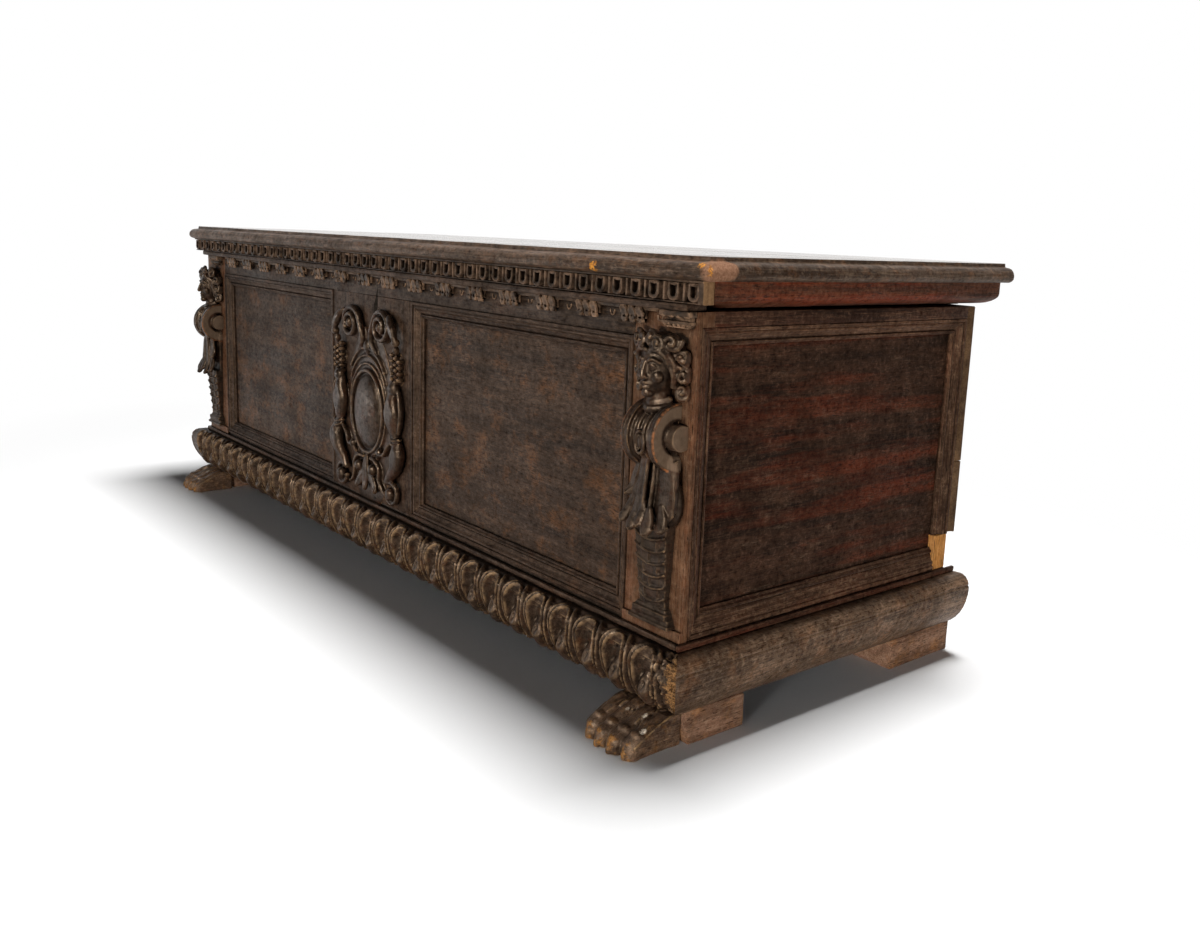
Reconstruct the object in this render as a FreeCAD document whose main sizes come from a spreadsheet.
import FreeCAD, Part
import math
import os
import re
import Sketcher
from FreeCAD import Placement, Rotation, Vector

# A carved walnut cassone: a low joined chest with a hinged lid. Millimetres, +Z up, +X along the
# front to the right, the front faces -Y. The origin is the middle of the outer box, on the floor.

document = FreeCAD.newDocument("Cassone")
sheet = document.addObject("Spreadsheet::Sheet", "Sizes")

# Driving sizes: name, value, what it is
driving_sizes = [
    ("case_length", 1600, "case from end to end"),
    ("case_depth", 560, "case from front face to back face"),
    ("foot_height", 45, "floor to the underside of the case"),
    ("wall_height", 478, "height of the case walls"),
    ("frame_thickness", 32, "front stiles and rails"),
    ("side_thickness", 26, "side rails"),
    ("back_thickness", 18, "back boards"),
    ("floor_thickness", 18, "floor boards"),
    ("stile_width", 107, "front corner stile"),
    ("muntin_width", 288, "centre muntin"),
    ("top_rail_height", 36, "front top rail"),
    ("bottom_rail_height", 90, "front bottom rail"),
    ("ground_recess", 4, "carved ground behind the arris of the case"),
    ("groove_depth", 8, "grooves that hold the panels"),
    ("tenon_length", 26, "rail tenons"),
    ("tenon_shoulder", 7, "shoulder above and below a tenon"),
    ("panel_thickness", 10, "all panels"),
    ("panel_recess", 16, "front panel face behind the arris"),
    ("panel_play", 1, "room for a panel to move in its grooves"),
    ("moulding_width", 25, "front panel mouldings"),
    ("side_top_rail_height", 18, "side top rail"),
    ("side_bottom_rail_height", 87, "side bottom rail"),
    ("side_stile_width", 21, "rear stile of a side"),
    ("side_panel_recess", 12, "side panel face behind the side face"),
    ("side_moulding_front", 13, "front edge of the side moulding from the front arris"),
    ("side_moulding_width", 27, "upright side mouldings"),
    ("side_moulding_top", 22, "top side moulding"),
    ("side_moulding_bottom", 34, "bottom side moulding"),
    ("lower_back_share", 0.52, "share of the wall height that the lower back board covers"),
    ("broken_corner_length", 25, "length of the broken corner of the back board"),
    ("broken_corner_height", 140, "height of the broken corner over the case underside"),
    ("repair_depth", 30, "new wood let in at the broken corner, along the side"),
    ("repair_height", 52, "height of the new wood"),
    ("crown_height", 9, "fillet that crowns the front"),
    ("crown_reach", 9, "crown fillet in front of the case"),
    ("crown_depth", 32, "crown fillet from front to back"),
    ("crown_end_gap", 5, "crown fillet short of the case end"),
    ("dentil_width", 46, "one carved dentil block"),
    ("dentil_height", 20, "one carved dentil block"),
    ("dentil_relief", 9, "dentil block in front of its ground"),
    ("dentil_count", 16, "dentil blocks between the capitals"),
    ("dentil_band", 5, "fillet that joins the dentil blocks"),
    ("dentil_shift", 30, "the carver's row of dentils stands this far towards the right"),
    ("base_height", 79, "base moulding"),
    ("base_reach", 34, "nose of the base moulding in front of the case"),
    ("base_foot_reach", 5, "foot of the base moulding in front of the case"),
    ("base_nose_radius", 13, "upper rounding of the base moulding"),
    ("base_fillet_height", 8, "fillet over the base moulding"),
    ("base_fillet_reach", 6, "fillet over the base moulding"),
    ("gadroon_count", 29, "gadroon lobes along the front"),
    ("gadroon_width", 48, "one lobe"),
    ("gadroon_height", 68, "one lobe"),
    ("gadroon_depth", 15, "one lobe, from its middle to its fullest point"),
    ("gadroon_relief", 3, "lobe in front of the moulding"),
    ("herm_inset", 48, "middle of a herm from the end of the case"),
    ("herm_plinth_top", 145, "top of the block under a herm, over the floor"),
    ("herm_cap_height", 18, "moulded base of the term"),
    ("herm_cap_width", 58, "moulded base of the term"),
    ("shaft_foot_width", 40, "term shaft at its foot"),
    ("shaft_head_width", 52, "term shaft under the skirt"),
    ("shaft_height", 106, "term shaft"),
    ("shaft_foot_relief", 14, "term shaft at its foot, in front of its ground"),
    ("shaft_head_relief", 22, "term shaft under the skirt"),
    ("scale_count", 5, "rows of scales on the shaft"),
    ("scale_relief", 2, "a row of scales in front of the shaft"),
    ("skirt_height", 82, "leaf skirt"),
    ("skirt_width", 66, "leaf skirt"),
    ("skirt_relief", 30, "leaf skirt"),
    ("volute_radius", 42, "side volutes"),
    ("volute_width", 10, "thickness of one volute"),
    ("volute_boss_radius", 18, "eye of the volute"),
    ("volute_boss_reach", 8, "eye of the volute"),
    ("herm_body_width", 60, "from volute to volute, outside"),
    ("torso_height", 76, "from the skirt to the neck"),
    ("torso_relief", 38, "chest"),
    ("leaf_radius", 10, "leaf tips of the skirt"),
    ("herm_head_height", 76, "head from neck to crown"),
    ("herm_head_width", 50, "head without the hair"),
    ("herm_head_relief", 36, "face in front of its ground"),
    ("curl_radius", 9, "curls of the hair"),
    ("curl_count", 9, "curls of the hair"),
    ("capital_width", 52, "stepped capital over a herm"),
    ("capital_step", 4, "one step of the capital"),
    ("capital_shift", 22, "both capitals stand this far towards the right, with the dentils"),
    ("cartouche_width", 236, "cartouche"),
    ("cartouche_margin", 6, "bare muntin above and below the cartouche"),
    ("cartouche_ground", 6, "thickness of the strapwork sheet"),
    ("cartouche_scroll_radius", 30, "upper scrolls"),
    ("cartouche_scroll_tube", 8, "rim of the upper scrolls"),
    ("shield_width", 104, "oval shield"),
    ("shield_height", 150, "oval shield"),
    ("shield_rim", 8, "raised rim of the shield"),
    ("shield_relief", 18, "top of the shield in front of its ground"),
    ("strap_width", 36, "side scroll straps"),
    ("strap_relief", 17, "side scroll straps"),
    ("paw_width", 96, "paw foot"),
    ("paw_reach", 76, "toes in front of the case"),
    ("paw_heel", 10, "heel behind the case front"),
    ("paw_set_in", 2, "outer side of a paw from the case end"),
    ("toe_count", 4, "toes of a paw"),
    ("toe_length", 46, "one toe"),
    ("toe_radius", 13, "one toe"),
    ("front_block_length", 102, "block behind a paw"),
    ("block_gap", 2, "between a paw and the block behind it"),
    ("rear_block_length", 141, "rear foot block"),
    ("block_width", 92, "foot blocks"),
    ("block_reach", 6, "foot blocks past the side of the case"),
    ("block_round", 14, "rounded toe of the front block"),
    ("seat_clearance", 0.5, "between the lid frame and the crown fillet"),
    ("frieze_height", 26, "carved strip under the lid's front edge"),
    ("frieze_thickness", 18, "carved strip"),
    ("frieze_reach", 16, "carved strip in front of the case"),
    ("frieze_relief", 5, "tongues in front of their ground"),
    ("frieze_count", 50, "tongues"),
    ("tongue_width", 20, "one tongue"),
    ("tongue_height", 21, "one tongue"),
    ("tongue_slot", 8, "slot in a tongue"),
    ("frieze_fillet_width", 4, "upright fillet between tongues"),
    ("lid_thickness", 27, "lid boards and edge strips"),
    ("lid_side_overhang", 42, "lid past the side of the case"),
    ("lid_front_overhang", 22, "lid past the front of the case"),
    ("lid_back_overhang", 24, "lid past the back of the case"),
    ("lid_step", 6, "step under the top arris of the lid"),
    ("lid_arris_setback", 16, "top arris behind the nose"),
    ("lid_nose_radius", 9, "rounding of the nose"),
    ("edge_strip_width", 42, "moulded edge strips"),
    ("rear_board_width", 290, "rear lid board"),
    ("cleat_width", 57, "cleat under each end of the lid"),
    ("cleat_side_reach", 27, "cleat past the side of the case"),
    ("cleat_height", 32, "cleat"),
    ("cleat_bevel", 12, "bevel under the cleat"),
    ("cleat_notch", 32, "notch that clears the crown fillet"),
    ("cleat_back_reach", 14, "cleat past the back of the case"),
    ("batten_depth", 40, "rear batten of the lid"),
    ("batten_clearance", 1, "rear batten over the back boards"),
    ("hinge_inset", 280, "middle of a hinge from the end of the case"),
    ("knuckle_length", 24, "one knuckle"),
    ("knuckle_gap", 0.5, "between knuckles"),
    ("barrel_radius", 6.5, "hinge barrel"),
    ("pin_radius", 3.5, "hinge pin"),
    ("pin_clearance", 0.05, "hinge pin in its bore, on the radius"),
    ("pin_head_radius", 5.5, "peened ends of the pin"),
    ("pin_head_length", 2.5, "peened ends of the pin"),
    ("leaf_thickness", 3, "hinge leaves"),
    ("case_leaf_height", 90, "case leaf below the barrel"),
    ("lid_leaf_height", 30, "lid leaf above the barrel"),
    ("leaf_margin", 12, "nails from the edge of a leaf"),
    ("nail_radius", 2, "shank of a nail"),
    ("nail_head_radius", 6, "rose head of a nail"),
    ("nail_head_height", 3, "rose head of a nail"),
]

# Sizes worked out from the driving ones: name, formula, what it is
derived_sizes = [
    ("overall_depth", "paw_reach + case_depth + lid_back_overhang", "toes to the back of the lid"),
    ("front_y", "paw_reach - overall_depth / 2", "front arris of the case"),
    ("back_y", "front_y + case_depth", "back face of the case"),
    ("half_length", "case_length / 2", "middle to the end of the case"),
    ("wall_top", "foot_height + wall_height", "rim of the case"),
    ("herm_offset", "half_length - herm_inset", "middle of a herm from the middle of the case"),
    ("hinge_offset", "half_length - hinge_inset", "middle of a hinge from the middle of the case"),
    ("ground_y", "front_y + ground_recess", "ground of the carved front"),
    ("panel_y", "front_y + panel_recess", "face of the front panels"),
    ("frame_back_y", "front_y + frame_thickness", "back of the front frame"),
    ("side_back_y", "back_y - back_thickness", "where the back boards start"),
    ("opening_low", "foot_height + bottom_rail_height", "lower edge of the panel openings"),
    ("opening_high", "wall_top - top_rail_height", "upper edge of the panel openings"),
    ("cartouche_height", "opening_high - opening_low - 2 * cartouche_margin", "cartouche"),
    ("opening_inner", "muntin_width / 2", "opening edge at the muntin"),
    ("opening_outer", "half_length - stile_width", "opening edge at the stile"),
    ("side_inner_x", "half_length - side_thickness", "inside face of a side"),
    ("side_panel_x", "half_length - side_panel_recess", "face of a side panel"),
    ("side_low", "foot_height + side_bottom_rail_height", "lower edge of the side opening"),
    ("side_high", "wall_top - side_top_rail_height", "upper edge of the side opening"),
    ("crown_top", "wall_top + crown_height", "top of the crown fillet"),
    ("frame_low", "crown_top + seat_clearance", "underside of the lid's frieze"),
    ("lid_low", "frame_low + frieze_height", "underside of the lid boards"),
    ("lid_top", "lid_low + lid_thickness", "top of the lid"),
    ("base_top", "foot_height + base_height", "top of the base moulding"),
    ("lid_half_length", "half_length + lid_side_overhang", "middle to the end of the lid"),
    ("lid_front_y", "front_y - lid_front_overhang", "nose of the lid"),
    ("lid_back_y", "back_y + lid_back_overhang", "back edge of the lid"),
    ("strip_back_y", "lid_front_y + edge_strip_width", "joint behind the front edge strip"),
    ("cleat_front_y", "front_y - frieze_reach + frieze_thickness", "joint behind the frieze"),
    ("cleat_outer_x", "half_length + cleat_side_reach", "outer face of a cleat"),
    ("cleat_inner_x", "cleat_outer_x - cleat_width", "inner face of a cleat"),
    ("axis_y", "back_y + barrel_radius", "hinge axis"),
    ("axis_z", "wall_top + batten_clearance / 2", "hinge axis"),
    ("dentil_pitch", "2 * herm_offset / (dentil_count + 1)", "from block to block"),
    ("gadroon_pitch", "case_length / gadroon_count", "from lobe to lobe"),
    ("frieze_pitch", "2 * cleat_outer_x / frieze_count", "from tongue to tongue"),
    ("paw_outer_x", "half_length - paw_set_in", "outer side of a paw"),
    ("skirt_z", "herm_plinth_top + herm_cap_height + shaft_height - leaf_radius", "foot of the skirt"),
    ("volute_z", "skirt_z + skirt_height + torso_height / 2", "middle of the volutes"),
    ("head_low", "skirt_z + skirt_height + torso_height", "chin of the herms"),
    ("shield_z", "(opening_low + opening_high) / 2 - shield_height / 10", "middle of the shield"),
]

row = 1
aliases = set()
for name, content, note in driving_sizes + derived_sizes:
    text = content if isinstance(content, str) else repr(content)
    sheet.set("A%d" % row, name)
    sheet.set("B%d" % row, "=" + text if isinstance(content, str) else text)
    sheet.set("C%d" % row, note)
    sheet.setAlias("B%d" % row, name)
    aliases.add(name)
    row += 1
document.recompute()

sub_parts = []


def linked(formula):
    """The formula with each size read from the sheet."""
    def from_sheet(match):
        word = match.group(0)
        return "Sizes." + word if word in aliases else word
    return re.sub(r"[A-Za-z_]\w*", from_sheet, formula)


def size(formula):
    """The present value of a formula."""
    return float(sheet.evalExpression(formula))


def bind(item, **formulas):
    for name, formula in formulas.items():
        item.setExpression(name, linked(formula))


def place(item, x_formula, y_formula, z_formula):
    item.setExpression("Placement.Base.x", linked(x_formula))
    item.setExpression("Placement.Base.y", linked(y_formula))
    item.setExpression("Placement.Base.z", linked(z_formula))


def keep(item):
    """Count the item as a finished sub-part."""
    sub_parts.append(item)
    return item


def block(label, low, extent):
    """A squared piece from its lowest corner and its extent along X, Y and Z."""
    item = document.addObject("Part::Box", label)
    bind(item, Length=extent[0], Width=extent[1], Height=extent[2])
    place(item, *low)
    return item


def between(label, low, high):
    """A squared piece between two corners."""
    extent = ["(%s) - (%s)" % (high[axis], low[axis]) for axis in range(3)]
    return block(label, low, extent)


def rod(label, start, radius, length, direction):
    """A cylinder that starts at a point and runs along a direction."""
    item = document.addObject("Part::Cylinder", label)
    item.Placement = Placement(Vector(), Rotation(Vector(0, 0, 1), direction))
    bind(item, Radius=radius, Height=length)
    place(item, *start)
    return item


def joined(label, items):
    item = document.addObject("Part::MultiFuse", label)
    item.Shapes = items
    item.Refine = False
    return item


def grouped(label, items):
    item = document.addObject("Part::Compound", label)
    item.Links = items
    return item


def cut(label, base, tool):
    item = document.addObject("Part::Cut", label)
    item.Base = base
    item.Tool = tool
    return item


def common(label, base, tool):
    item = document.addObject("Part::Common", label)
    item.Base = base
    item.Tool = tool
    return item


def outward(sign, inner, outer):
    """Lowest and highest X of a piece that lies between two distances from the middle."""
    if sign > 0:
        return inner, outer
    return "-(%s)" % outer, "-(%s)" % inner


def origin_feature(body, role):
    for feature in body.Origin.OriginFeatures:
        if feature.Role == role:
            return feature
    raise ValueError(role)


def outline_sketch(body, plane, label, steps):
    """A closed outline on an origin plane.

    steps holds corners as ("x", "y") and, for a round stretch, ("x", "y", "arc") for a point that
    the arc to the next corner passes through.
    """
    sketch = body.newObject("Sketcher::SketchObject", label)
    sketch.AttachmentSupport = (origin_feature(body, plane), [""])
    sketch.MapMode = "FlatFace"
    corners = []
    vias = {}
    for step in steps:
        if len(step) == 3:
            vias[len(corners) - 1] = step[:2]
        else:
            corners.append(step)
    edges = []
    for number, corner in enumerate(corners):
        following = corners[(number + 1) % len(corners)]
        start = Vector(size(corner[0]), size(corner[1]), 0)
        finish = Vector(size(following[0]), size(following[1]), 0)
        if number in vias:
            via = vias[number]
            through = Vector(size(via[0]), size(via[1]), 0)
            arc = Part.Arc(start, through, finish)
            turn = (through - start).cross(finish - through).z
            edge = sketch.addGeometry(arc, False)
            ends = (1, 2) if turn > 0 else (2, 1)
            mark = sketch.addGeometry(Part.Point(through), True)
            sketch.addConstraint(Sketcher.Constraint("PointOnObject", mark, 1, edge))
            pin_down(sketch, mark, 1, via)
        else:
            edge = sketch.addGeometry(Part.LineSegment(start, finish), False)
            ends = (1, 2)
        pin_down(sketch, edge, ends[0], corner)
        edges.append((edge, ends))
    for number, (edge, ends) in enumerate(edges):
        next_edge, next_ends = edges[(number + 1) % len(edges)]
        sketch.addConstraint(Sketcher.Constraint("Coincident", edge, ends[1], next_edge, next_ends[0]))
    return sketch


def pin_down(sketch, edge, end, point):
    """Bind one point of a sketch to two formulas."""
    for kind, formula in (("DistanceX", point[0]), ("DistanceY", point[1])):
        number = sketch.addConstraint(Sketcher.Constraint(kind, edge, end, size(formula)))
        sketch.setExpression("Constraints[%d]" % number, linked(formula))


def pad(body, sketch, label, length, reverse=False):
    feature = body.newObject("PartDesign::Pad", label)
    feature.Profile = sketch
    feature.Reversed = reverse
    bind(feature, Length=length)
    body.Tip = feature
    document.recompute()
    return feature


def pocket(body, sketch, label, length, reverse=False):
    before = body.Shape.Volume
    feature = body.newObject("PartDesign::Pocket", label)
    feature.Profile = sketch
    feature.Reversed = reverse
    bind(feature, Length=length)
    body.Tip = feature
    document.recompute()
    if body.Shape.Volume >= before:
        raise RuntimeError(label + " cuts nothing")
    return feature


def row_of(body, features, label, length, count):
    """A straight row of features along X."""
    feature = body.newObject("PartDesign::LinearPattern", label)
    feature.Originals = features
    feature.Direction = (origin_feature(body, "X_Axis"), [""])
    bind(feature, Length=length, Occurrences=count)
    body.Tip = feature
    document.recompute()
    return feature


def new_body(label):
    return document.addObject("PartDesign::Body", label)


# Front frame


def front_rail(label, low_z, high_z, groove_on_top):
    """A rail between the stiles, with a tenon at each end and a groove for the panels."""
    blank = between(label + "_blank",
                    ("-opening_outer", "ground_y", low_z),
                    ("opening_outer", "frame_back_y", high_z))
    tenon = between(label + "_tenon",
                    ("-opening_outer - tenon_length", "panel_y", low_z + " + tenon_shoulder"),
                    ("opening_outer + tenon_length", "panel_y + panel_thickness",
                     high_z + " - tenon_shoulder"))
    if groove_on_top:
        groove_low, groove_high = high_z + " - groove_depth", high_z
    else:
        groove_low, groove_high = low_z, low_z + " + groove_depth"
    groove = between(label + "_groove",
                     ("-opening_outer - tenon_length", "panel_y", groove_low),
                     ("opening_outer + tenon_length", "panel_y + panel_thickness", groove_high))
    keep(cut(label, joined(label + "_stock", [blank, tenon]), groove))


front_rail("front_top_rail", "opening_high", "wall_top", False)
front_rail("front_bottom_rail", "foot_height", "opening_low", True)


def front_stile(label, sign):
    low_x, high_x = outward(sign, "opening_outer", "half_length")
    blank = between(label + "_blank",
                    (low_x, "front_y", "foot_height"), (high_x, "frame_back_y", "wall_top"))
    ground = between(label + "_ground",
                     (low_x, "front_y", "herm_plinth_top"), (high_x, "ground_y", "wall_top"))
    groove_low, groove_high = outward(sign, "opening_outer", "opening_outer + groove_depth")
    groove = between(label + "_groove",
                     (groove_low, "panel_y", "opening_low - groove_depth"),
                     (groove_high, "panel_y + panel_thickness", "opening_high + groove_depth"))
    mortise_low, mortise_high = outward(sign, "opening_outer", "opening_outer + tenon_length")
    upper = between(label + "_upper_mortise",
                    (mortise_low, "panel_y", "opening_high + groove_depth"),
                    (mortise_high, "panel_y + panel_thickness", "wall_top - tenon_shoulder"))
    lower = between(label + "_lower_mortise",
                    (mortise_low, "panel_y", "foot_height + tenon_shoulder"),
                    (mortise_high, "panel_y + panel_thickness", "opening_low - groove_depth"))
    rebate_low, rebate_high = outward(sign, "side_panel_x", "half_length")
    rebate = between(label + "_rebate",
                     (rebate_low, "front_y + side_moulding_front", "side_low"),
                     (rebate_high, "frame_back_y", "side_high"))
    cuts = joined(label + "_cuts", [ground, groove, upper, lower, rebate])
    keep(cut(label, blank, cuts))


front_stile("front_stile_left", -1)
front_stile("front_stile_right", 1)


def centre_muntin(label):
    blank = between(label + "_blank",
                    ("-opening_inner", "ground_y", "opening_low"),
                    ("opening_inner", "frame_back_y", "opening_high"))
    tongue = between(label + "_tongue",
                     ("-opening_inner + groove_depth", "panel_y", "opening_low - groove_depth"),
                     ("opening_inner - groove_depth", "panel_y + panel_thickness",
                      "opening_high + groove_depth"))
    grooves = []
    for name, sign in (("left", -1), ("right", 1)):
        low_x, high_x = outward(sign, "opening_inner - groove_depth", "opening_inner")
        grooves.append(between(label + "_groove_" + name,
                               (low_x, "panel_y", "opening_low"),
                               (high_x, "panel_y + panel_thickness", "opening_high")))
    keep(cut(label, joined(label + "_stock", [blank, tongue]), grouped(label + "_grooves", grooves)))


centre_muntin("centre_muntin")

panel_margin = "groove_depth - panel_play"
for name, sign in (("left", -1), ("right", 1)):
    low_x, high_x = outward(sign, "opening_inner - (%s)" % panel_margin,
                            "opening_outer + (%s)" % panel_margin)
    keep(between("front_panel_" + name,
                 (low_x, "panel_y", "opening_low - (%s)" % panel_margin),
                 (high_x, "panel_y + panel_thickness", "opening_high + (%s)" % panel_margin)))


# Mitred panel mouldings

# Across the moulding from its outer edge, and up from the panel face, as shares of its width and fall
moulding_outline_shares = [
    (0, 0), (0, 0.94), (0.05, 1.04), (0.13, 1.04), (0.18, 0.9), (0.30, 0.86), (0.36, 0.74),
    (0.48, 0.66), (0.60, 0.52), (0.72, 0.44), (0.78, 0.5), (0.90, 0.5), (1, 0.36), (1, 0),
]


def mitred_frame(outer_low, outer_high, widths, fall, ends_at=None):
    """Four lengths of moulding that meet in mitres, flat in X and Z, facing -Y, panel face at Y 0.

    widths are those of the left, right, lower and upper length.
    """
    left, right, lower, upper = widths
    corners = [
        (outer_low[0], outer_low[1], left, lower),
        (outer_high[0], outer_low[1], -right, lower),
        (outer_high[0], outer_high[1], -right, -upper),
        (outer_low[0], outer_high[1], left, -upper),
    ]
    sections = []
    for x, z, step_x, step_z in corners:
        sections.append([Vector(x + across * step_x, -up * fall, z + across * step_z)
                         for across, up in moulding_outline_shares])
    lengths = []
    for number, section in enumerate(sections):
        following = sections[(number + 1) % len(sections)]
        faces = [Part.Face(Part.makePolygon(end + end[:1])) for end in (section, following)]
        for point in range(len(section)):
            after = (point + 1) % len(section)
            faces.append(Part.Face(Part.makePolygon([
                section[point], section[after], following[after], following[point], section[point]])))
        shell = Part.makeShell(faces)
        shell.sewShape()
        lengths.append(Part.makeSolid(shell))
    return Part.makeCompound(lengths)


def front_moulding(label, sign):
    item = document.addObject("Part::Feature", label)
    low_x, high_x = outward(sign, "opening_inner", "opening_outer")
    width = size("moulding_width")
    item.Shape = mitred_frame((size(low_x), size("opening_low")), (size(high_x), size("opening_high")),
                              (width, width, width, width), size("panel_recess - ground_recess / 2"))
    item.Placement = Placement(Vector(0, size("panel_y"), 0), Rotation())
    keep(item)


front_moulding("front_moulding_left", -1)
front_moulding("front_moulding_right", 1)


# Sides


def side_wall(name, sign):
    """Two rails, a rear stile, a panel and its mouldings; the right one has the old damage."""
    low_x, high_x = outward(sign, "side_inner_x", "half_length")
    face_low, face_high = outward(sign, "side_inner_x", "side_panel_x")
    groove_low, groove_high = outward(sign, "side_panel_x - panel_thickness", "side_panel_x")
    for part, low_z, high_z, groove_z in (
            ("top_rail", "side_high", "wall_top", "side_high"),
            ("bottom_rail", "foot_height", "side_low", "side_low - groove_depth")):
        label = "side_%s_%s" % (part, name)
        blank = between(label + "_blank", (low_x, "frame_back_y", low_z), (high_x, "side_back_y", high_z))
        groove = between(label + "_groove",
                         (groove_low, "frame_back_y", groove_z),
                         (groove_high, "side_back_y - side_stile_width + groove_depth",
                          groove_z + " + groove_depth"))
        keep(cut(label, blank, groove))
    label = "side_stile_" + name
    stile_low = "side_low + repair_height" if sign > 0 else "side_low"
    blank = between(label + "_blank",
                    (face_low, "side_back_y - side_stile_width", stile_low),
                    (face_high, "side_back_y", "side_high"))
    groove = between(label + "_groove",
                     (groove_low, "side_back_y - side_stile_width", stile_low),
                     (groove_high, "side_back_y - side_stile_width + groove_depth", "side_high"))
    keep(cut(label, blank, groove))
    keep(between("side_panel_" + name,
                 (groove_low, "frame_back_y", "side_low - (%s)" % panel_margin),
                 (groove_high, "side_back_y - side_stile_width + (%s)" % panel_margin,
                  "side_high + (%s)" % panel_margin)))
    label = "side_moulding_" + name
    front, rear = size("front_y + side_moulding_front"), size("side_back_y")
    width = size("side_moulding_width")
    lower, upper = size("side_moulding_bottom"), size("side_moulding_top")
    if sign > 0:
        outer_low, outer_high = (front, size("side_low")), (rear, size("side_high"))
    else:
        outer_low, outer_high = (-rear, size("side_low")), (-front, size("side_high"))
    frame = document.addObject("Part::Feature", label + ("_whole" if sign > 0 else ""))
    frame.Shape = mitred_frame(outer_low, outer_high, (width, width, lower, upper),
                               size("side_panel_recess"))
    frame.Placement = Placement(Vector(sign * size("side_panel_x"), 0, 0),
                                Rotation(Vector(0, 0, 1), sign * 90))
    if sign > 0:
        damage = between(label + "_damage",
                         ("side_panel_x", "side_back_y - repair_depth", "side_low"),
                         ("half_length + side_panel_recess", "side_back_y", "side_low + repair_height"))
        frame = cut(label, frame, damage)
    keep(frame)


side_wall("left", -1)
side_wall("right", 1)

# New light wood in the broken lower corner of the right side: beside the panel's edge and under
# what is left of the rear stile
repair_stile_edge = "side_back_y - side_stile_width + groove_depth"
keep(joined("corner_repair", [
    between("corner_repair_face",
            ("side_panel_x", "side_back_y - repair_depth", "side_low"),
            ("half_length - panel_play", "side_back_y", "side_low + repair_height")),
    between("corner_repair_core",
            ("side_inner_x", repair_stile_edge, "side_low"),
            ("side_panel_x", "side_back_y", "side_low + repair_height"))]))


# Back and floor


def lower_back_board(label):
    """The lower board has lost its right-hand corner."""
    blank = between(label + "_blank",
                    ("-half_length", "side_back_y", "foot_height"),
                    ("half_length", "back_y", "foot_height + wall_height * lower_back_share"))
    body = new_body(label + "_break")
    outline = [("0", "0"),
               ("broken_corner_length", "0"),
               ("broken_corner_length", "broken_corner_height"),
               ("broken_corner_length * 0.7", "broken_corner_height * 0.96"),
               ("broken_corner_length * 0.5", "broken_corner_height * 1.03"),
               ("broken_corner_length * 0.2", "broken_corner_height * 0.93"),
               ("0", "broken_corner_height * 0.8")]
    sketch = outline_sketch(body, "XZ_Plane", label + "_break_outline", outline)
    pad(body, sketch, label + "_break_pad", "back_thickness", True)
    place(body, "half_length - broken_corner_length", "side_back_y", "foot_height")
    keep(cut(label, blank, body))


lower_back_board("back_board_lower")
keep(between("back_board_upper",
             ("-half_length", "side_back_y", "foot_height + wall_height * lower_back_share"),
             ("half_length", "back_y", "wall_top")))

keep(grouped("floor_boards", [
    block("floor_board_%d" % (number + 1),
          ("-side_inner_x",
           "frame_back_y + (side_back_y - frame_back_y) * %d / 3" % number,
           "foot_height"),
          ("2 * side_inner_x",
           "(side_back_y - frame_back_y) / 3 - panel_play / 4",
           "floor_thickness"))
    for number in range(3)]))


# Crown fillet, dentils and capitals

keep(between("crown_fillet",
             ("-half_length + crown_end_gap", "front_y - crown_reach", "wall_top"),
             ("half_length - crown_end_gap", "front_y - crown_reach + crown_depth", "crown_top")))


def dentil_course(label):
    """A thin fillet with blocks that end in three hanging lobes, carved in one length."""
    body = new_body(label)
    band = outline_sketch(body, "XZ_Plane", "dentil_band_outline", [
        ("0", "dentil_height - dentil_band"), ("dentil_pitch * dentil_count", "dentil_height - dentil_band"),
        ("dentil_pitch * dentil_count", "dentil_height"), ("0", "dentil_height")])
    pad(body, band, "dentil_band_pad", "dentil_relief / 2")
    left = "(dentil_pitch - dentil_width) / 2"
    outline = [(left, "dentil_height"), (left, "dentil_height / 4")]
    for lobe in range(3):
        outline.append(("%s + dentil_width * %d / 6" % (left, 2 * lobe + 1), "0", "arc"))
        outline.append(("%s + dentil_width * %d / 3" % (left, lobe + 1), "dentil_height / 4"))
    outline.append(("%s + dentil_width" % left, "dentil_height"))
    lobes = outline_sketch(body, "XZ_Plane", "dentil_outline", outline)
    dentil = pad(body, lobes, "dentil_pad", "dentil_relief")
    row_of(body, [dentil], "dentil_row", "dentil_pitch * (dentil_count - 1)", "dentil_count")
    place(body, "dentil_shift - dentil_pitch * dentil_count / 2", "ground_y",
          "wall_top - dentil_height")
    keep(body)


dentil_course("dentil_course")

for name, sign in (("left", -1), ("right", 1)):
    label = "herm_capital_" + name
    middle = "%d * herm_offset + capital_shift" % sign
    steps = []
    for step in range(3):
        half = "(capital_width / 2 - capital_step * %d)" % step
        steps.append(between("%s_step_%d" % (label, step + 1),
                             (middle + " - " + half,
                              "front_y - crown_reach + capital_step * %d" % step,
                              "wall_top - dentil_height * %d / 3" % (step + 1)),
                             (middle + " + " + half, "ground_y",
                              "wall_top - dentil_height * %d / 3" % step)))
    keep(joined(label, steps))


# Herms


def arched(label, sections, turn=None):
    """A form with a flat back at Y 0: each section is an arch (X, Z, half width, rise towards -Y)."""
    wires = []
    for x, z, half, rise in sections:
        start, finish = Vector(x - half, 0, z), Vector(x + half, 0, z)
        arch = Part.Arc(start, Vector(x, -rise, z), finish).toShape()
        wires.append(Part.Wire([arch, Part.LineSegment(finish, start).toShape()]))
    item = document.addObject("Part::Feature", label)
    item.Shape = Part.makeLoft(wires, True, True)
    if turn:
        item.Placement = Placement(Vector(), turn)
    return item


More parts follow.
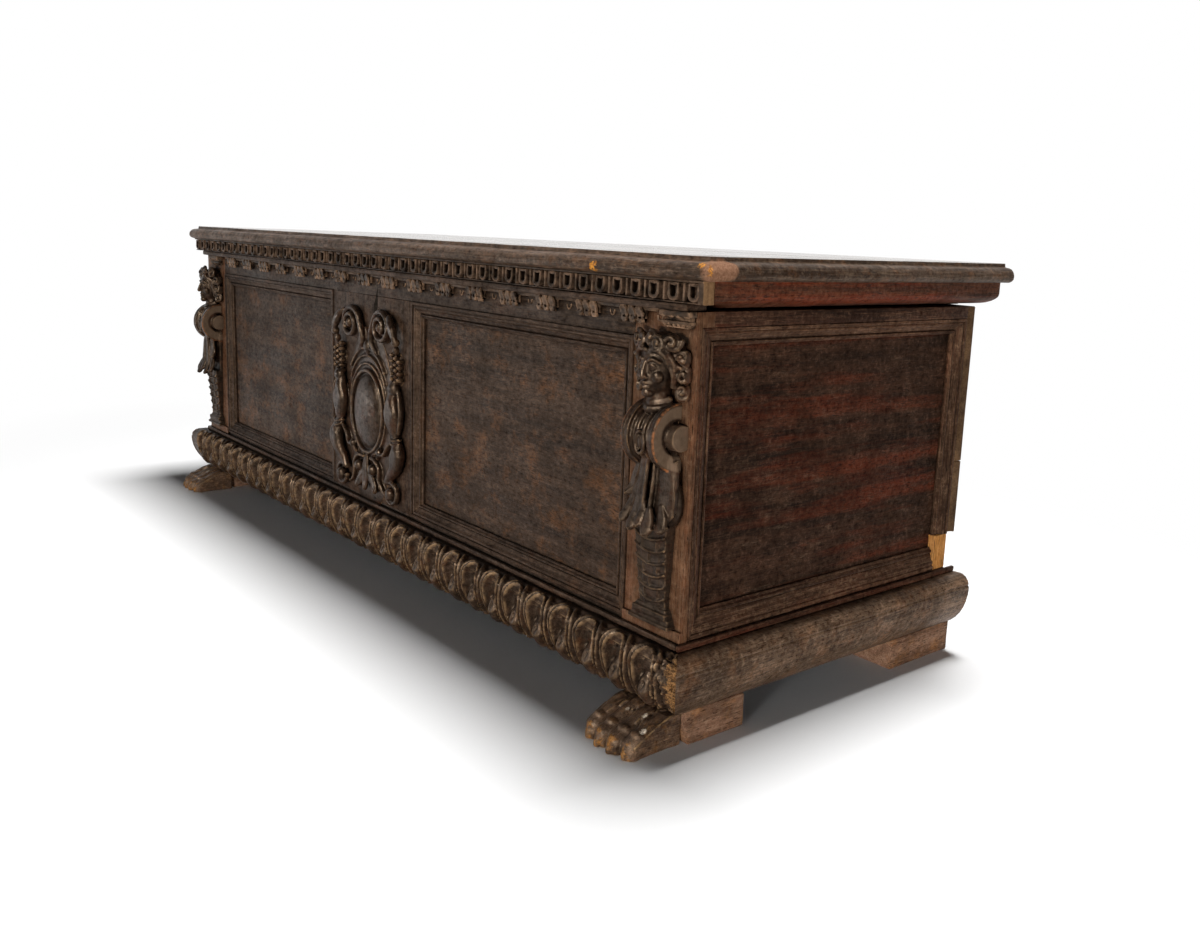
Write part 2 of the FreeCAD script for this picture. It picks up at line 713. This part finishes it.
def half_disc(label, low_x, radius, thickness, z):
    """A disc that faces sideways, cut off at the carved ground."""
    item = document.addObject("Part::Cylinder", label)
    item.Placement = Placement(
        Vector(), Rotation(Vector(0, 0, -1), Vector(0, -1, 0), Vector(-1, 0, 0), "ZYX"))
    item.Angle = 180
    bind(item, Radius=radius, Height=thickness)
    place(item, "%s + %s" % (low_x, thickness), "ground_y", z)
    return item


def sphere(label, x, y, z, radius):
    item = document.addObject("Part::Sphere", label)
    bind(item, Radius=radius)
    place(item, x, y, z)
    return item


# Height over the foot of the form, half width and relief, as shares of its height, half width and
# relief
skirt_shares = [(0, 0.9, 0.9), (0.12, 1, 1), (0.45, 0.78, 0.8), (1, 0.6, 0.7)]
torso_shares = [(0, 0.55, 0.6), (0.25, 0.62, 0.8), (0.55, 0.7, 1), (0.85, 0.62, 0.9), (1, 0.3, 0.5)]
head_shares = [(0, 0.5, 0.6), (0.1, 0.7, 0.8), (0.3, 0.94, 1), (0.55, 1, 1), (0.8, 0.86, 0.84),
               (1, 0.4, 0.45)]


def herm_stack(label, middle, low, height, half_width, relief, shares):
    item = arched(label, [(0, size(height) * up, size(half_width) * wide, size(relief) * deep)
                          for up, wide, deep in shares])
    place(item, middle, "ground_y", low)
    return item


def herm(label, sign):
    """A scaled term shaft, a leaf skirt, a scroll chest between two volutes and a curled head."""
    middle = "%d * herm_offset" % sign
    shaft_low = "herm_plinth_top + herm_cap_height"
    pieces = [
        between(label + "_cap",
                (middle + " - herm_cap_width / 2", "ground_y - shaft_head_relief", "herm_plinth_top"),
                (middle + " + herm_cap_width / 2", "ground_y",
                 "herm_plinth_top + herm_cap_height / 2")),
        between(label + "_cap_step",
                (middle + " - herm_cap_width / 2 + capital_step",
                 "ground_y - shaft_head_relief + capital_step",
                 "herm_plinth_top + herm_cap_height / 2"),
                (middle + " + herm_cap_width / 2 - capital_step", "ground_y", shaft_low)),
    ]
    rows = int(size("scale_count"))
    for number in range(rows):
        widths = []
        for share in (number / rows, (number + 1) / rows):
            half = size("shaft_foot_width + (shaft_head_width - shaft_foot_width) * %f" % share) / 2
            rise = size("shaft_foot_relief + (shaft_head_relief - shaft_foot_relief) * %f" % share)
            widths.append((half, rise))
        lip = size("scale_relief")
        row_height = size("shaft_height") / rows
        scales = arched("%s_scales_%d" % (label, number + 1),
                        [(0, 0, widths[0][0] + lip, widths[0][1] + lip),
                         (0, row_height, widths[1][0] - lip / 2, widths[1][1] - lip / 2)])
        place(scales, middle, "ground_y", "%s + shaft_height * %d / scale_count" % (shaft_low, number))
        pieces.append(scales)
    pieces.append(herm_stack(label + "_skirt", middle, "skirt_z", "skirt_height",
                             "skirt_width / 2", "skirt_relief", skirt_shares))
    for number, across in enumerate((-1, 0, 1)):
        pieces.append(sphere("%s_leaf_%d" % (label, number + 1),
                             "%s + skirt_width * %d / 3" % (middle, across),
                             "ground_y - skirt_relief * %s" % (0.9 if across == 0 else 0.45),
                             "skirt_z + leaf_radius / 2", "leaf_radius"))
    pieces.append(herm_stack(label + "_torso", middle, "skirt_z + skirt_height", "torso_height",
                             "herm_body_width / 2", "torso_relief", torso_shares))
    for number, low_x in enumerate((middle + " - herm_body_width / 2",
                                    middle + " + herm_body_width / 2 - volute_width")):
        pieces.append(half_disc("%s_volute_%d" % (label, number + 1), low_x, "volute_radius",
                                "volute_width", "volute_z"))
    for number, low_x in enumerate((middle + " - herm_body_width / 2 - volute_boss_reach",
                                    middle + " + herm_body_width / 2")):
        pieces.append(half_disc("%s_eye_%d" % (label, number + 1), low_x, "volute_boss_radius",
                                "volute_boss_reach", "volute_z"))
    pieces.append(herm_stack(label + "_head", middle, "head_low", "herm_head_height",
                             "herm_head_width / 2", "herm_head_relief", head_shares))
    curls = int(size("curl_count"))
    for number in range(curls):
        turn = math.radians(210 - 240 * number / (curls - 1))
        pieces.append(sphere(
            "%s_curl_%d" % (label, number + 1),
            "%s + %.3f * herm_head_width / 2" % (middle, math.cos(turn)),
            "ground_y - curl_radius",
            "head_low + herm_head_height / 2 + %.3f * (herm_head_height / 2 - curl_radius / 2)"
            % math.sin(turn),
            "curl_radius"))
    keep(joined(label, pieces))


herm("herm_left", -1)
herm("herm_right", 1)


# Cartouche

# Up from the middle of the cartouche, out from its middle line, half width and relief of the side
# straps, as shares of half its height, half its width, the strap's width and the strap's relief
strap_shares = [
    (-0.98, 0.50, 0.20, 0.5), (-0.88, 0.56, 0.46, 1), (-0.74, 0.62, 0.40, 0.9),
    (-0.56, 0.80, 0.44, 0.9), (-0.36, 0.84, 0.40, 1), (-0.22, 0.72, 0.24, 0.7),
    (-0.16, 0.70, 0.34, 0.9), (0.02, 0.72, 0.50, 1), (0.24, 0.84, 0.30, 0.8),
    (0.36, 0.84, 0.40, 1), (0.56, 0.86, 0.36, 0.9), (0.66, 0.84, 0.16, 0.5),
]
# Height and width of the shield's sections, as shares of half its height and half its width
shield_steps = 8


def cartouche(label):
    """An oval shield in a raised rim on a strapwork sheet, between side straps, under two scrolls."""
    half_width = "cartouche_width / 2"
    half_height = "cartouche_height / 2"
    middle_z = "(opening_low + opening_high) / 2"
    body = new_body(label + "_sheet")
    # Corners across and up, as shares of half the width and half the height; a third entry marks
    # the point that a round stretch passes through
    outline_shares = [
        (-0.3, -1), (0.3, -1), (0.85, -0.92, "arc"), (0.9, -0.4), (0.72, 0, "arc"), (0.86, 0.5),
        (0.5, 0.96, "arc"), (0.1, 0.66), (-0.1, 0.66), (-0.5, 0.96, "arc"), (-0.86, 0.5),
        (-0.72, 0, "arc"), (-0.9, -0.4), (-0.85, -0.92, "arc"),
    ]
    outline = [("%s * %s" % (half_width, share[0]), "%s * %s" % (half_height, share[1])) + share[2:]
               for share in outline_shares]
    sketch = outline_sketch(body, "XZ_Plane", label + "_outline", outline)
    pad(body, sketch, label + "_sheet_pad", "cartouche_ground")
    place(body, "0", "ground_y", middle_z)
    pieces = [body]
    rim = document.addObject("Part::Feature", label + "_rim")
    oval = Part.Ellipse(Vector(), size("shield_height / 2 + shield_rim"),
                        size("shield_width / 2 + shield_rim"))
    rim.Shape = Part.Face(Part.Wire(oval.toShape())).extrude(Vector(0, 0, size("shield_relief / 2")))
    rim.Placement = Placement(
        Vector(), Rotation(Vector(0, 0, 1), Vector(1, 0, 0), Vector(0, -1, 0), "ZXY"))
    place(rim, "0", "ground_y", "shield_z")
    pieces.append(rim)
    sections = []
    for number in range(shield_steps + 1):
        turn = math.pi * (number + 0.25) / (shield_steps + 0.5)
        sections.append((0, -math.cos(turn) * size("shield_height / 2"),
                         math.sin(turn) * size("shield_width / 2"),
                         size("shield_relief") * (0.5 + 0.5 * math.sin(turn))))
    shield = arched(label + "_shield", sections)
    place(shield, "0", "ground_y", "shield_z")
    pieces.append(shield)
    for name, sign in (("left", -1), ("right", 1)):
        scroll = document.addObject("Part::Torus", "%s_scroll_%s" % (label, name))
        scroll.Placement = Placement(Vector(), Rotation(Vector(0, 0, 1), Vector(0, -1, 0)))
        bind(scroll, Radius1="cartouche_scroll_radius - cartouche_scroll_tube",
             Radius2="cartouche_scroll_tube")
        scroll_x = "%d * %s * 0.45" % (sign, half_width)
        scroll_z = "%s + %s * 0.78" % (middle_z, half_height)
        place(scroll, scroll_x, "ground_y - cartouche_ground - cartouche_scroll_tube / 2", scroll_z)
        pieces.append(scroll)
        pieces.append(sphere("%s_bud_%s" % (label, name), scroll_x,
                             "ground_y - cartouche_ground - cartouche_scroll_tube / 2", scroll_z,
                             "cartouche_scroll_tube"))
        strap = arched("%s_strap_%s" % (label, name),
                       [(sign * out * size(half_width), up * size(half_height),
                         wide * size("strap_width"), deep * size("strap_relief"))
                        for up, out, wide, deep in strap_shares])
        place(strap, "0", "ground_y", middle_z)
        pieces.append(strap)
    keep(joined(label, pieces))


cartouche("cartouche")


# Base mouldings

# From the case face outwards and up from the underside, as formulas for a face that looks towards -X
base_outline = [
    ("0", "0"),
    ("-base_foot_reach", "0"),
    ("-base_reach * 0.72", "base_height * 0.3", "arc"),
    ("-base_reach", "base_height - base_nose_radius * 1.6"),
    ("-base_reach + base_nose_radius * 0.3", "base_height - base_nose_radius * 0.4", "arc"),
    ("-base_reach + base_nose_radius", "base_height"),
    ("0", "base_height"),
]


def base_front(label):
    """The front moulding with its row of gadroon lobes, mitred at both ends."""
    body = new_body(label)
    sketch = outline_sketch(body, "YZ_Plane", "base_front_outline", base_outline)
    pad(body, sketch, "base_front_pad", "case_length + 2 * base_reach")
    lobe = body.newObject("PartDesign::AdditiveEllipsoid", "gadroon")
    bind(lobe, Radius1="gadroon_height / 2", Radius2="gadroon_width / 2", Radius3="gadroon_depth")
    place(lobe, "base_reach + gadroon_pitch / 2", "-base_reach - gadroon_relief + gadroon_depth",
          "base_height * 0.55")
    body.Tip = lobe
    document.recompute()
    row_of(body, [lobe], "gadroon_row", "gadroon_pitch * (gadroon_count - 1)", "gadroon_count")
    far = "case_length + 2 * base_reach"
    big = "(base_reach + gadroon_relief * 3)"
    for name, corner, side in (("left", "base_reach", -1), ("right", far + " - base_reach", 1)):
        mitre = outline_sketch(body, "XY_Plane", "base_mitre_" + name, [
            (corner, "0"),
            ("%s + %d * %s" % (corner, side, big), "-" + big),
            ("%s + %d * 2 * %s" % (corner, side, big), "-" + big),
            ("%s + %d * 2 * %s" % (corner, side, big), "0")])
        pocket(body, mitre, "base_mitre_cut_" + name, "base_height * 2", True)
    place(body, "-half_length - base_reach", "front_y", "foot_height")
    keep(body)


def base_side(name, sign):
    """A plain side moulding, mitred in front and square at the back."""
    body = new_body("base_side_" + name)
    outline = base_outline
    if sign > 0:
        outline = [("-(%s)" % step[0],) + step[1:] for step in base_outline]
    sketch = outline_sketch(body, "XZ_Plane", "base_side_outline_" + name, outline)
    pad(body, sketch, "base_side_pad_" + name, "case_depth + base_reach", True)
    mitre = outline_sketch(body, "XY_Plane", "base_side_mitre_" + name, [
        ("0", "0"), ("0", "base_reach"),
        ("%d * 2 * base_reach" % sign, "-base_reach"), ("%d * base_reach" % sign, "-base_reach")])
    pocket(body, mitre, "base_side_mitre_cut_" + name, "base_height * 2", True)
    place(body, "%d * half_length" % sign, "front_y - base_reach", "foot_height")
    keep(body)


base_front("base_front")
base_side("left", -1)
base_side("right", 1)

keep(between("base_fillet_front",
             ("-half_length", "front_y - base_fillet_reach", "base_top"),
             ("half_length", "front_y", "base_top + base_fillet_height")))
for name, sign in (("left", -1), ("right", 1)):
    low_x, high_x = outward(sign, "half_length", "half_length + base_fillet_reach")
    keep(between("base_fillet_" + name,
                 (low_x, "front_y - base_fillet_reach", "base_top"),
                 (high_x, "back_y", "base_top + base_fillet_height")))


# Feet


# Station from the toes to the heel, half width and rise of the instep, as shares of the paw's length,
# half its width and its height
instep_shares = [(0.22, 0.8, 0.5), (0.42, 0.94, 0.78), (0.62, 0.98, 0.95), (0.8, 1, 1)]


def paw(label, sign):
    """A lion's paw with rounded toes, flat underneath and on top where the case stands on it."""
    middle = "%d * (paw_outer_x - paw_width / 2)" % sign
    toe_front = "front_y - paw_reach"
    length = size("paw_reach + paw_heel")
    instep = arched(label + "_instep",
                    [(0, length * along, size("paw_width / 2") * wide, size("foot_height") * up)
                     for along, wide, up in instep_shares], Rotation(Vector(1, 0, 0), -90))
    place(instep, middle, toe_front, "0")
    pieces = [
        instep,
        between(label + "_heel",
                (middle + " - paw_width / 2", "front_y - paw_heel", "0"),
                (middle + " + paw_width / 2", "front_y + paw_heel", "foot_height")),
    ]
    for number in range(int(size("toe_count"))):
        toe_x = "%s + paw_width * ((%d + 0.5) / toe_count - 0.5)" % (middle, number)
        toe_z = "toe_radius * 0.8"
        pieces.append(rod("%s_toe_%d" % (label, number + 1),
                          (toe_x, toe_front + " + toe_radius", toe_z),
                          "toe_radius", "toe_length", Vector(0, 1, 0)))
        pieces.append(sphere("%s_toe_tip_%d" % (label, number + 1),
                             toe_x, toe_front + " + toe_radius", toe_z, "toe_radius"))
    whole = joined(label + "_whole", pieces)
    limit = between(label + "_limit",
                    (middle + " - paw_width", "front_y - paw_reach * 2", "0"),
                    (middle + " + paw_width", "front_y + paw_heel", "foot_height"))
    keep(common(label, whole, limit))


paw("paw_left", -1)
paw("paw_right", 1)

for name, sign in (("left", -1), ("right", 1)):
    low_x, high_x = outward(sign, "half_length + block_reach - block_width", "half_length + block_reach")
    label = "front_block_" + name
    body = new_body(label)
    sketch = outline_sketch(body, "YZ_Plane", label + "_outline", [
        ("block_round", "0"), ("front_block_length", "0"),
        ("front_block_length", "foot_height"), ("0", "foot_height"),
        ("0", "block_round"), ("block_round * 0.3", "block_round * 0.3", "arc")])
    pad(body, sketch, label + "_pad", "block_width")
    place(body, low_x, "front_y + paw_heel + block_gap", "0")
    keep(body)
    keep(between("rear_block_" + name,
                 (low_x, "back_y - panel_play - rear_block_length", "0"),
                 (high_x, "back_y - panel_play", "foot_height")))


# Lid


def lid_edge_outline(reach):
    """Section of a moulded edge strip: nose towards the left, back joint at the given reach."""
    return [
        (reach, "0"), (reach, "lid_thickness"),
        ("lid_arris_setback", "lid_thickness"),
        ("lid_arris_setback", "lid_thickness - lid_step"),
        ("lid_nose_radius", "lid_thickness - lid_step"),
        ("lid_nose_radius * 0.15", "lid_thickness - lid_step - lid_nose_radius * 0.5", "arc"),
        ("0", "lid_nose_radius"),
        ("lid_nose_radius * 0.2", "lid_nose_radius * 0.2", "arc"),
        ("lid_nose_radius * 0.8", "0"),
    ]


def lid_front_strip(label):
    """Full-width strip; its ends carry the same nose as the side strips."""
    body = new_body(label)
    sketch = outline_sketch(body, "YZ_Plane", label + "_outline", lid_edge_outline("edge_strip_width"))
    pad(body, sketch, label + "_pad", "2 * lid_half_length")
    far = "2 * lid_half_length"
    for name, end, side in (("left", "0", 1), ("right", far, -1)):
        step = outline_sketch(body, "XZ_Plane", label + "_end_" + name, [
            (end, "lid_thickness - lid_step"),
            ("%s + %d * lid_arris_setback" % (end, side), "lid_thickness - lid_step"),
            ("%s + %d * lid_arris_setback" % (end, side), "lid_thickness + lid_step"),
            (end, "lid_thickness + lid_step")])
        pocket(body, step, label + "_end_cut_" + name, "edge_strip_width * 2")
        rounding = outline_sketch(body, "XZ_Plane", label + "_round_" + name, [
            ("%s + %d * lid_nose_radius" % (end, side), "lid_thickness - lid_step"),
            ("%s + %d * lid_nose_radius * 0.15" % (end, side),
             "lid_thickness - lid_step - lid_nose_radius * 0.5", "arc"),
            (end, "lid_nose_radius"),
            ("%s + %d * lid_nose_radius * 0.2" % (end, side), "lid_nose_radius * 0.2", "arc"),
            ("%s + %d * lid_nose_radius * 0.8" % (end, side), "0"),
            ("%s - %d * lid_step" % (end, side), "-lid_step"),
            ("%s - %d * lid_step" % (end, side), "lid_thickness")])
        pocket(body, rounding, label + "_round_cut_" + name, "edge_strip_width * 2")
    place(body, "-lid_half_length", "lid_front_y", "lid_low")
    keep(body)


def lid_side_strip(name, sign):
    body = new_body("lid_strip_" + name)
    outline = lid_edge_outline("edge_strip_width")
    if sign > 0:
        outline = [("-(%s)" % step[0],) + step[1:] for step in outline]
    sketch = outline_sketch(body, "XZ_Plane", "lid_strip_outline_" + name, outline)
    pad(body, sketch, "lid_strip_pad_" + name, "lid_back_y - strip_back_y", True)
    place(body, "%d * lid_half_length" % sign, "strip_back_y", "lid_low")
    keep(body)


lid_front_strip("lid_strip_front")
lid_side_strip("left", -1)
lid_side_strip("right", 1)

board_x = "(lid_half_length - edge_strip_width)"
keep(between("lid_board_front",
             ("-" + board_x, "strip_back_y", "lid_low"),
             (board_x, "lid_back_y - rear_board_width", "lid_top")))
keep(between("lid_board_rear",
             ("-" + board_x, "lid_back_y - rear_board_width", "lid_low"),
             (board_x, "lid_back_y", "lid_top")))


def lid_frieze(label):
    """A strip with a row of upright tongues, each with a sunk slot, between thin fillets."""
    body = new_body(label)
    strip = outline_sketch(body, "XZ_Plane", "frieze_strip_outline", [
        ("0", "0"), ("2 * cleat_outer_x", "0"),
        ("2 * cleat_outer_x", "frieze_height"), ("0", "frieze_height")])
    pad(body, strip, "frieze_strip_pad", "frieze_thickness - frieze_relief")
    relief = "frieze_thickness"
    centre = "frieze_pitch / 2"
    radius = "(tongue_width / 2)"
    slot = "(tongue_slot / 2)"
    foot = "(frieze_height - tongue_height) / 2"
    outer = outline_sketch(body, "XZ_Plane", "tongue_outline", [
        ("%s - %s" % (centre, radius), foot + " + " + radius),
        (centre, foot, "arc"),
        ("%s + %s" % (centre, radius), foot + " + " + radius),
        ("%s + %s" % (centre, radius), foot + " + tongue_height"),
        ("%s + %s" % (centre, slot), foot + " + tongue_height"),
        ("%s + %s" % (centre, slot), foot + " + %s + %s" % (radius, slot)),
        (centre, foot + " + " + radius, "arc"),
        ("%s - %s" % (centre, slot), foot + " + %s + %s" % (radius, slot)),
        ("%s - %s" % (centre, slot), foot + " + tongue_height"),
        ("%s - %s" % (centre, radius), foot + " + tongue_height")])
    tongue = pad(body, outer, "tongue_pad", relief)
    fillet_x = "frieze_pitch - frieze_fillet_width"
    fillet = outline_sketch(body, "XZ_Plane", "frieze_fillet_outline", [
        (fillet_x, foot), ("frieze_pitch", foot),
        ("frieze_pitch", foot + " + tongue_height"), (fillet_x, foot + " + tongue_height")])
    bar = pad(body, fillet, "frieze_fillet_pad", relief)
    row_of(body, [tongue, bar], "frieze_row", "frieze_pitch * (frieze_count - 1)", "frieze_count")
    place(body, "-cleat_outer_x", "cleat_front_y", "frame_low")
    keep(body)


lid_frieze("lid_frieze")


def cleat(name, sign):
    """A batten under the end of the lid, bevelled below, notched in front over the crown fillet."""
    label = "lid_cleat_" + name
    body = new_body(label + "_blank")
    outline = [
        ("0", "-cleat_height"),
        ("cleat_width - cleat_bevel * 2", "-cleat_height"),
        ("cleat_width - cleat_bevel * 0.6", "-cleat_height + cleat_bevel * 0.25", "arc"),
        ("cleat_width", "-cleat_height + cleat_bevel"),
        ("cleat_width", "0"), ("0", "0"),
    ]
    if sign < 0:
        outline = [("-(%s)" % step[0],) + step[1:] for step in outline]
    sketch = outline_sketch(body, "XZ_Plane", label + "_outline", outline)
    pad(body, sketch, label + "_pad", "back_y + cleat_back_reach - cleat_front_y", True)
    place(body, "%d * cleat_inner_x" % sign, "cleat_front_y", "lid_low")
    low_x, high_x = outward(sign, "cleat_inner_x - cleat_bevel", "cleat_outer_x + cleat_bevel")
    notch = between(label + "_notch",
                    (low_x, "cleat_front_y - cleat_bevel", "frame_low - frieze_height"),
                    (high_x, "cleat_front_y + cleat_notch", "frame_low"))
    keep(cut(label, body, notch))


cleat("left", -1)
cleat("right", 1)

keep(between("lid_batten",
             ("-cleat_inner_x", "back_y - batten_depth", "wall_top + batten_clearance"),
             ("cleat_inner_x", "back_y", "lid_low")))


# Hinges

# A hinge has three knuckles: the case leaf has the outer two, the lid leaf the middle one
knuckle_step = "(knuckle_length + knuckle_gap)"
leaf_length = "(3 * knuckle_length + 2 * knuckle_gap)"
nail_share_rows = (0.3, 0.8)


def hinge_leaf(label, middle, knuckles, height, direction):
    """A leaf on the back of the chest, upwards or downwards from the axis, with its nail holes."""
    start = middle + " - " + leaf_length + " / 2"
    if direction > 0:
        low_z, high_z = "axis_z", "axis_z + " + height
    else:
        low_z, high_z = "axis_z - " + height, "axis_z"
    pieces = [between(label + "_plate", (start, "back_y", low_z),
                      (start + " + " + leaf_length, "back_y + leaf_thickness", high_z))]
    cuts = []
    for number in range(3):
        low_x = "%s + %s * %d" % (start, knuckle_step, number)
        if number in knuckles:
            pieces.append(rod("%s_knuckle_%d" % (label, number + 1), (low_x, "axis_y", "axis_z"),
                              "barrel_radius", "knuckle_length", Vector(1, 0, 0)))
        else:
            cuts.append(rod("%s_clear_%d" % (label, number + 1),
                            (low_x + " - knuckle_gap", "axis_y", "axis_z"),
                            "barrel_radius + knuckle_gap * 2", "knuckle_length + 2 * knuckle_gap",
                            Vector(1, 0, 0)))
    cuts.append(rod(label + "_bore", (start + " - knuckle_gap", "axis_y", "axis_z"),
                    "pin_radius + pin_clearance", leaf_length + " + 2 * knuckle_gap", Vector(1, 0, 0)))
    for number, (x, z) in enumerate(nail_places(middle, height, direction)):
        cuts.append(rod("%s_hole_%d" % (label, number + 1), (x, "back_y - leaf_thickness", z),
                        "nail_radius + pin_clearance", "leaf_thickness * 3", Vector(0, 1, 0)))
    return cut(label, joined(label + "_stock", pieces), joined(label + "_cuts", cuts))


def nail_places(middle, height, direction):
    """Two nails beside the barrel's clear zone and one towards the end of the leaf."""
    near = "axis_z + %d * (barrel_radius + (%s - barrel_radius) * %s)" % (
        direction, height, nail_share_rows[0])
    far = "axis_z + %d * (barrel_radius + (%s - barrel_radius) * %s)" % (
        direction, height, nail_share_rows[1])
    side = "(%s / 2 - leaf_margin)" % leaf_length
    return [(middle + " - " + side, near), (middle + " + " + side, near), (middle, far)]


def nail(label, x, z):
    shank = rod(label + "_shank", (x, "back_y", z), "nail_radius", "leaf_thickness", Vector(0, 1, 0))
    head = document.addObject("Part::Cone", label + "_head")
    head.Placement = Placement(Vector(), Rotation(Vector(0, 0, 1), Vector(0, 1, 0)))
    bind(head, Radius1="nail_head_radius", Radius2="nail_head_radius / 3", Height="nail_head_height")
    place(head, x, "back_y + leaf_thickness", z)
    return joined(label, [shank, head])


def hinge(name, sign):
    middle = "%d * hinge_offset" % sign
    keep(hinge_leaf("hinge_case_leaf_" + name, middle, (0, 2), "case_leaf_height", -1))
    keep(hinge_leaf("hinge_lid_leaf_" + name, middle, (1,), "lid_leaf_height", 1))
    label = "hinge_pin_" + name
    start = middle + " - " + leaf_length + " / 2"
    keep(joined(label, [
        rod(label + "_shank", (start + " - pin_head_length", "axis_y", "axis_z"),
            "pin_radius", leaf_length + " + 2 * pin_head_length", Vector(1, 0, 0)),
        rod(label + "_head_1", (start + " - pin_head_length", "axis_y", "axis_z"),
            "pin_head_radius", "pin_head_length", Vector(1, 0, 0)),
        rod(label + "_head_2", (start + " + " + leaf_length, "axis_y", "axis_z"),
            "pin_head_radius", "pin_head_length", Vector(1, 0, 0))]))


hinge("left", -1)
hinge("right", 1)

for node, height, direction in (("case_leaf_nails", "case_leaf_height", -1),
                                ("lid_leaf_nails", "lid_leaf_height", 1)):
    nails = []
    for sign in (-1, 1):
        for number, (x, z) in enumerate(nail_places("%d * hinge_offset" % sign, height, direction)):
            nails.append(nail("%s_%d" % (node, len(nails) + 1), x, z))
    keep(grouped(node, nails))


# Check and write

document.recompute()
for item in document.Objects:
    if "Invalid" in item.State or "Error" in item.State:
        raise RuntimeError("%s failed: %s" % (item.Label, item.State))
os.makedirs("parts", exist_ok=True)
for item in sub_parts:
    shape = item.Shape
    if shape.isNull() or not shape.isValid() or not shape.Solids:
        raise RuntimeError(item.Label + " has no valid solid")
    shape.exportStep("parts/%s.step" % item.Label)
print(len(sub_parts), "sub-parts written")
